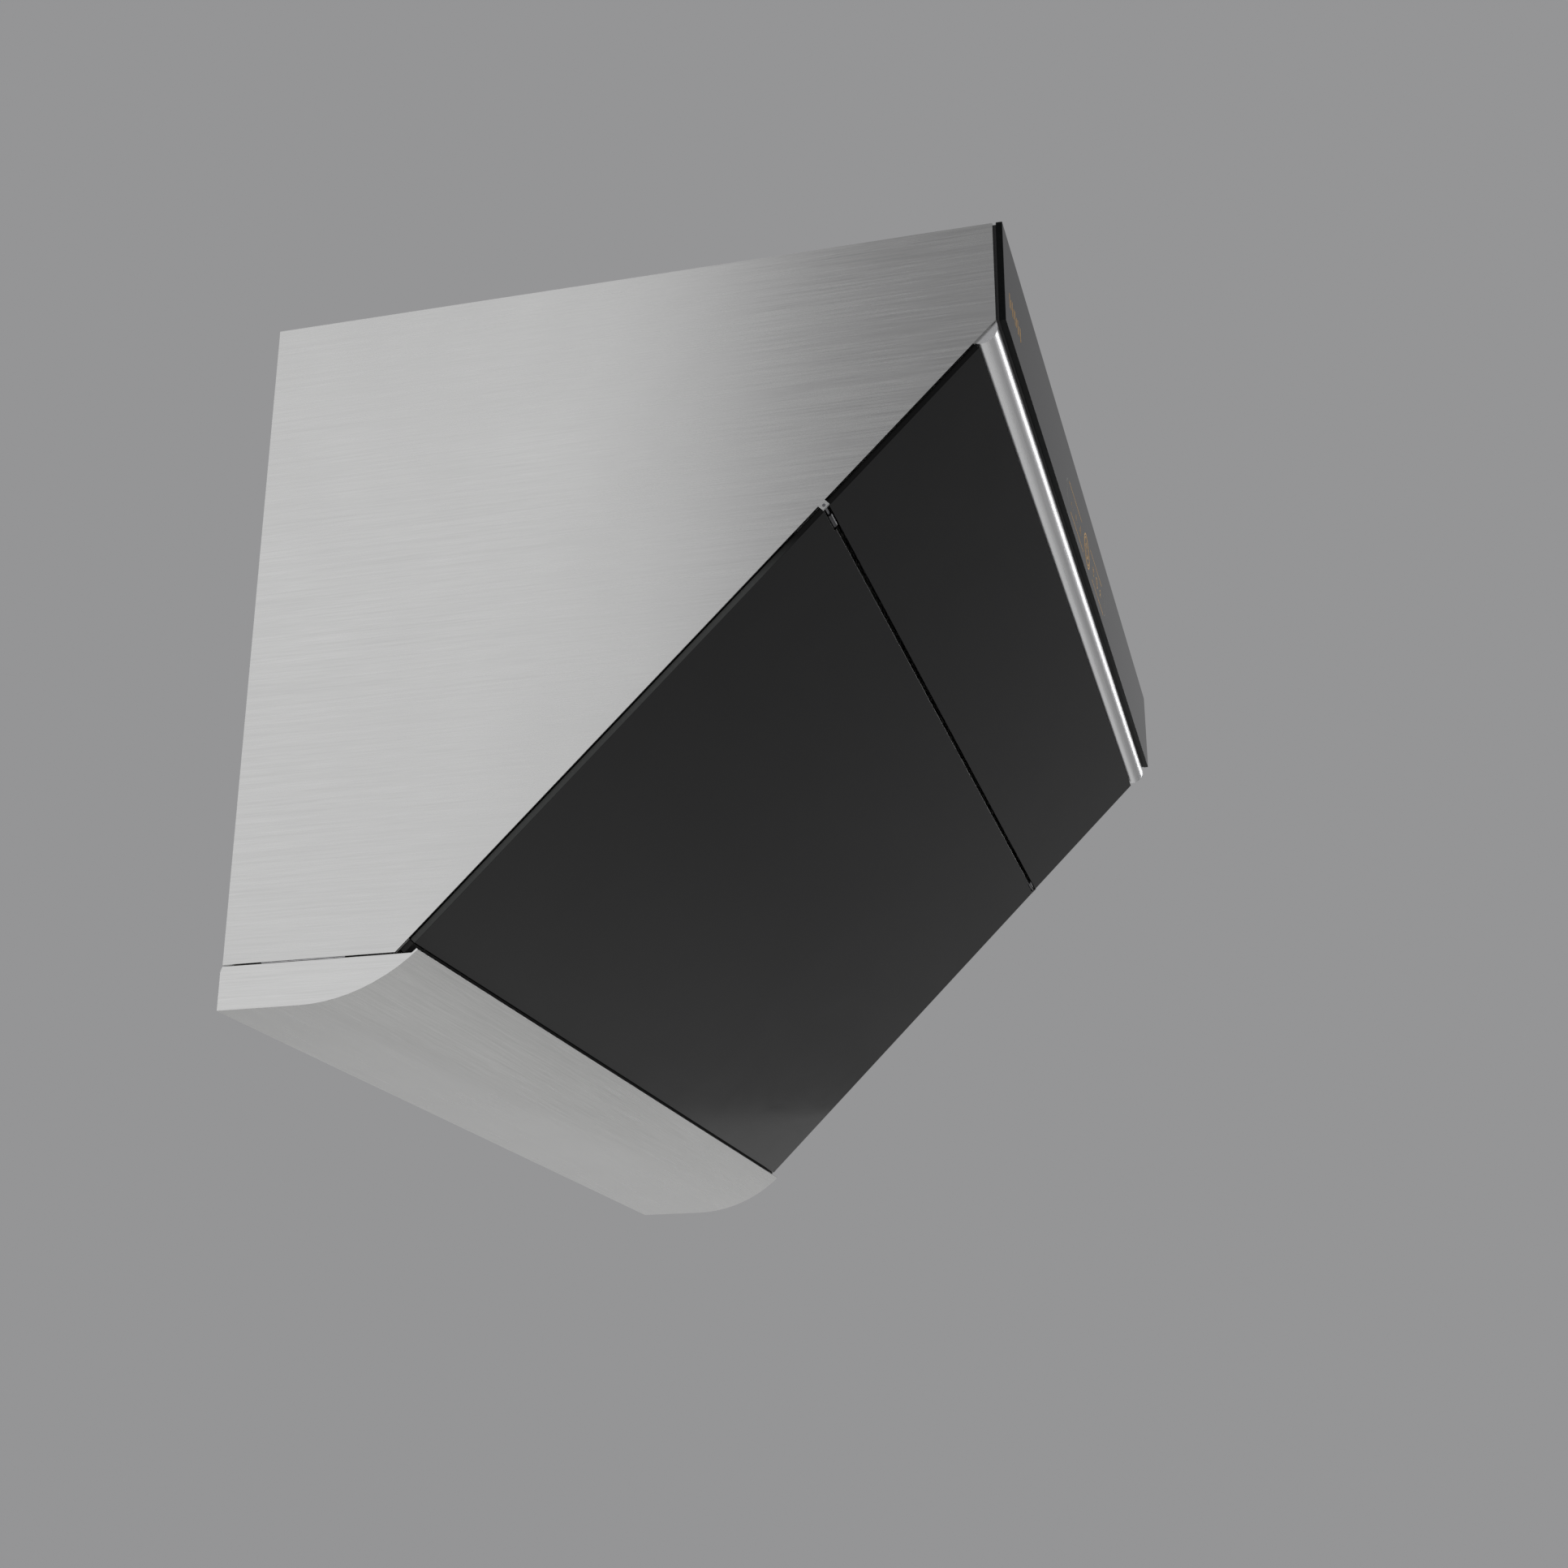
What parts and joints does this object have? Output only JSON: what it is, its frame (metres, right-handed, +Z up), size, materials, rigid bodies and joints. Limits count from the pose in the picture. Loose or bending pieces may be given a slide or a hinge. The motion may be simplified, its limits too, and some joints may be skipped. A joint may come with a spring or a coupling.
{
  "type": "range hood",
  "caption": "Compact wall-mounted range hood with a 45 degree inclined front, a hinged glass panel, a fan inside and an oil tray under the steel body.",
  "frame": {"origin": "middle of the wall bracket's rear face, where it lies on the wall", "axes": "+X to the right seen from the room, along the width; -Y into the room, +Y into the wall; +Z up, along the duct"},
  "size_m": [0.71, 0.4343, 0.4624],
  "materials": {
    "body_steel": "brushed along the depth",
    "zinc_steel": "galvanised",
    "trim_steel": "polished on the round",
    "black_glass": "black-backed tempered glass",
    "black_rubber": "matt",
    "black_plastic": "moulded",
    "white_plastic": "moulded",
    "circuit_board": "lacquered",
    "fan_black": "satin paint",
    "motor_grey": "satin paint",
    "nut_brass": "plain",
    "pin_steel": "turned"
  },
  "bodies": {
    "housing": {"side_left": "body_steel", "side_right": "body_steel", "top_panel": "body_steel", "back_panel": "zinc_steel", "floor_panel": "body_steel", "upper_backing": "zinc_steel", "suction_frame": "body_steel", "seal_strip": "black_rubber", "control_glass": "black_glass", "glass_spacer": "black_rubber", "touch_board": "circuit_board", "front_trim": "trim_steel", "trim_cap_left": "trim_steel", "trim_cap_right": "trim_steel", "upper_glass": "black_glass", "hinge_pin_left": "pin_steel", "hinge_pin_right": "pin_steel", "catch_magnets": "black_plastic", "grease_filter": "body_steel", "filter_clips": "pin_steel", "fan_scroll": "zinc_steel", "fan_rear_plate": "zinc_steel", "fan_front_plate": "zinc_steel", "inlet_ring": "zinc_steel", "fan_posts": "black_rubber", "fan_screws": "pin_steel", "motor": "motor_grey", "motor_mount": "zinc_steel", "motor_bushes": "black_rubber", "motor_screws": "pin_steel", "capacitor": "white_plastic", "capacitor_clip": "zinc_steel", "control_box": "white_plastic", "control_board": "circuit_board", "control_box_cover": "white_plastic", "outlet_collar": "black_plastic", "flap_pins": "pin_steel", "collar_screws": "pin_steel", "cable_gland": "black_plastic", "gland_nut": "black_plastic", "wall_bracket": "zinc_steel", "hang_rail": "zinc_steel", "rail_screws": "pin_steel", "tray_hanger_left": "zinc_steel", "tray_hanger_right": "zinc_steel", "hanger_screws": "pin_steel"},
    "glass_panel": {"lower_glass": "black_glass", "panel_frame": "zinc_steel", "hinge_leaf_left": "pin_steel", "hinge_leaf_right": "pin_steel", "strike_plates": "pin_steel"},
    "rotor": {"impeller": "fan_black", "impeller_nut": "nut_brass", "motor_shaft": "pin_steel"},
    "left_flap": {"flap_left": "black_plastic"},
    "right_flap": {"flap_right": "black_plastic"},
    "tray": {"oil_tray": "body_steel"}
  },
  "joints": [
    {"name": "panel_hinge", "type": "hinge", "parent": "housing", "child": "glass_panel", "pos_m": [0, -0.3341, -0.09803], "axis": [-1, 0, 0], "range_deg": [0, 75]},
    {"name": "fan_spin", "type": "hinge", "parent": "housing", "child": "rotor", "pos_m": [-0.093, -0.03, -0.08281], "axis": [0, -1, 0], "continuous": true},
    {"name": "left_flap_swing", "type": "hinge", "parent": "housing", "child": "left_flap", "pos_m": [-0.004, -0.09, 0.074], "axis": [0, 1, 0], "range_deg": [0, 75]},
    {"name": "right_flap_swing", "type": "hinge", "parent": "housing", "child": "right_flap", "pos_m": [0.004, -0.09, 0.074], "axis": [0, -1, 0], "range_deg": [0, 75]},
    {"name": "tray_slide", "type": "slide", "parent": "housing", "child": "tray", "axis": [0, -1, 0], "range_m": [0, 0.06]}
  ],
  "couplings": [
    {"joint": "right_flap_swing", "follows": "left_flap_swing", "ratio": 1}
  ]
}
